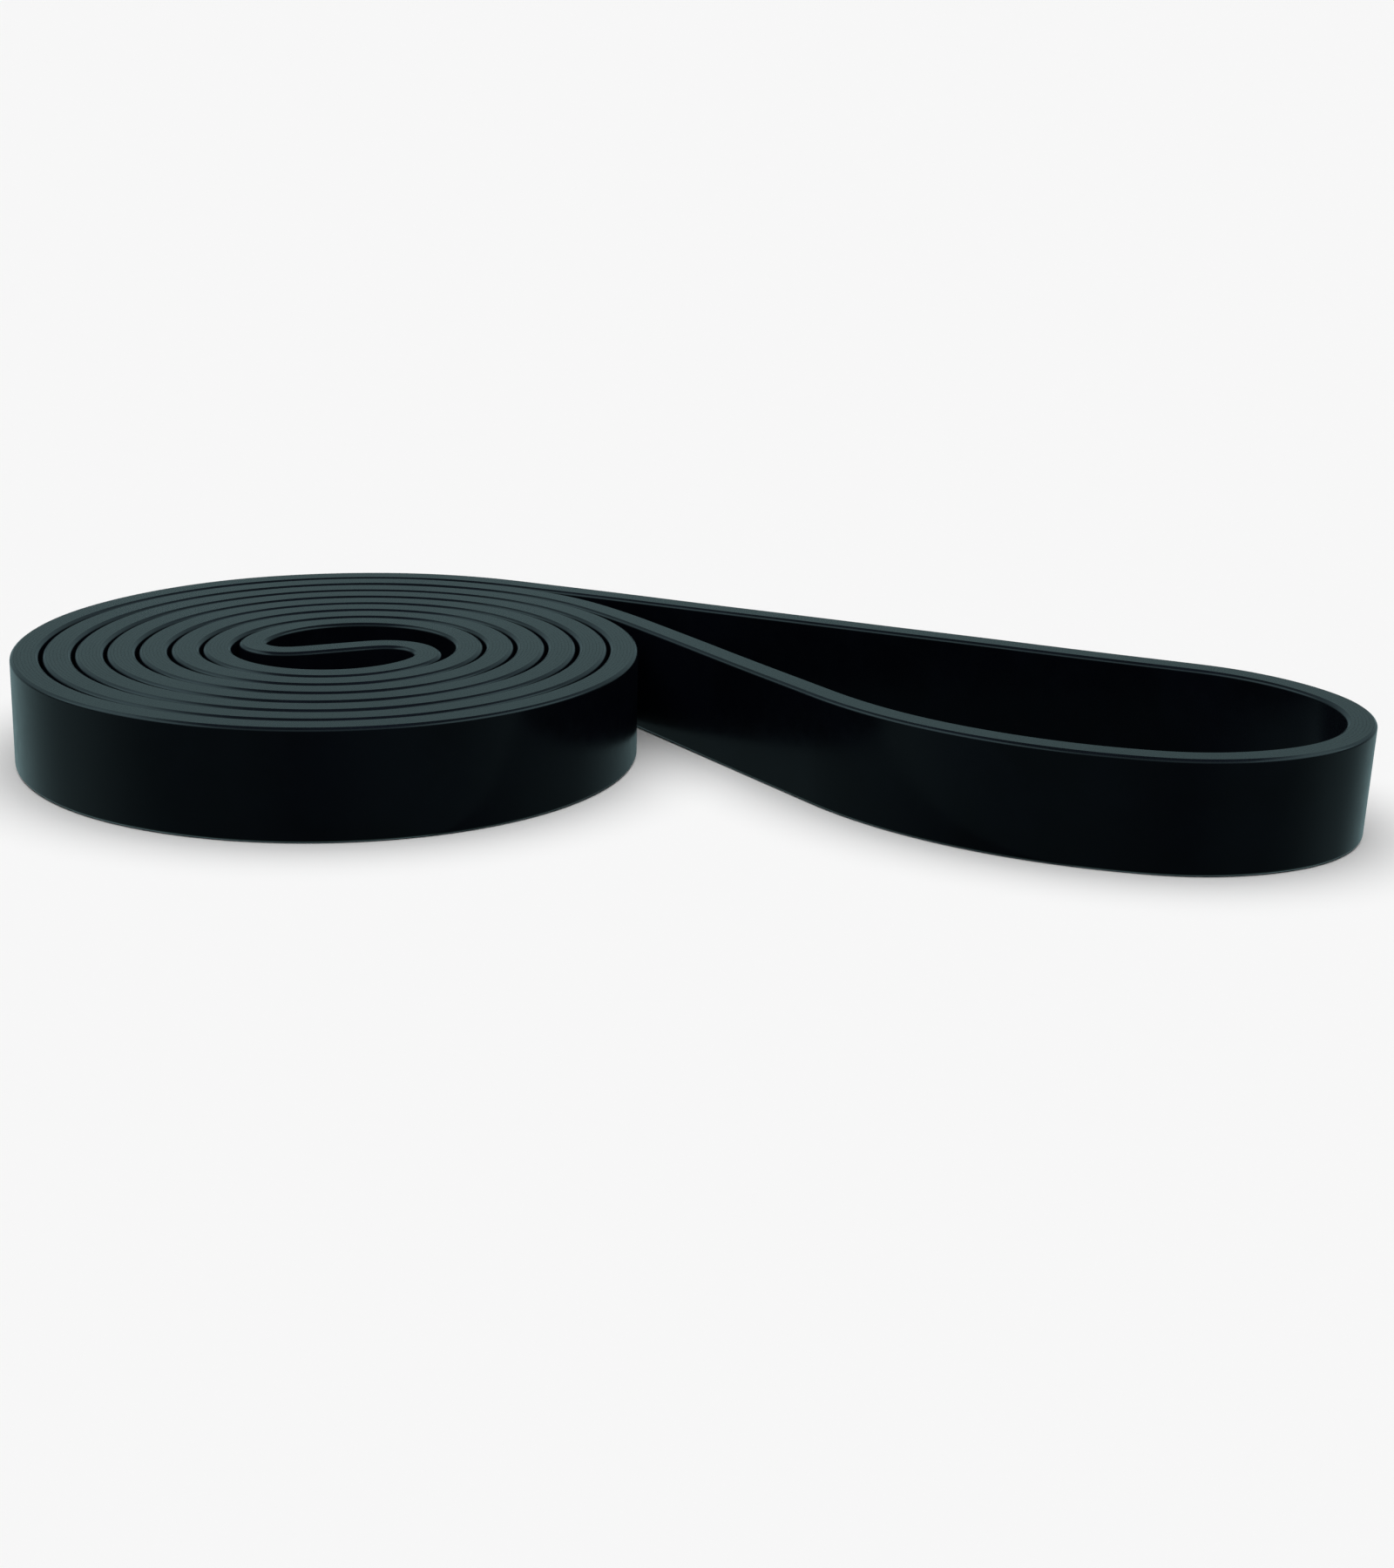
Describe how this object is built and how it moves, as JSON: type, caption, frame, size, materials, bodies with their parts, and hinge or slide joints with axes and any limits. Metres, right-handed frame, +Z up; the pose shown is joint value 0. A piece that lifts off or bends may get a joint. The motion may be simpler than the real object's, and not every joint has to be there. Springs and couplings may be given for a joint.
{
  "type": "resistance band",
  "caption": "Flat endless rubber loop for resistance exercise, standing on its long edge, rolled from one end into a coil with the rest left open as a teardrop eye.",
  "frame": {"origin": "centre of the coil, on the surface that the band stands on: the middle of the S, on the lower long edge", "axes": "+Z up along the band's width; +X from the coil towards the open eye's side, along the longest extent; +Y completes a right-handed frame, towards the side where the straight strand lies"},
  "size_m": [0.2294, 0.1232, 0.019],
  "materials": {
    "skin_rubber": "satin black natural latex rubber",
    "core_rubber": "black natural latex rubber sheet, seen only on the long cut edges"
  },
  "bodies": {
    "root": {"inner_skin": "skin_rubber", "ply_02": "core_rubber", "ply_03": "core_rubber", "ply_04": "core_rubber", "ply_05": "core_rubber", "ply_06": "core_rubber", "ply_07": "core_rubber", "outer_skin": "skin_rubber"}
  },
  "joints": []
}
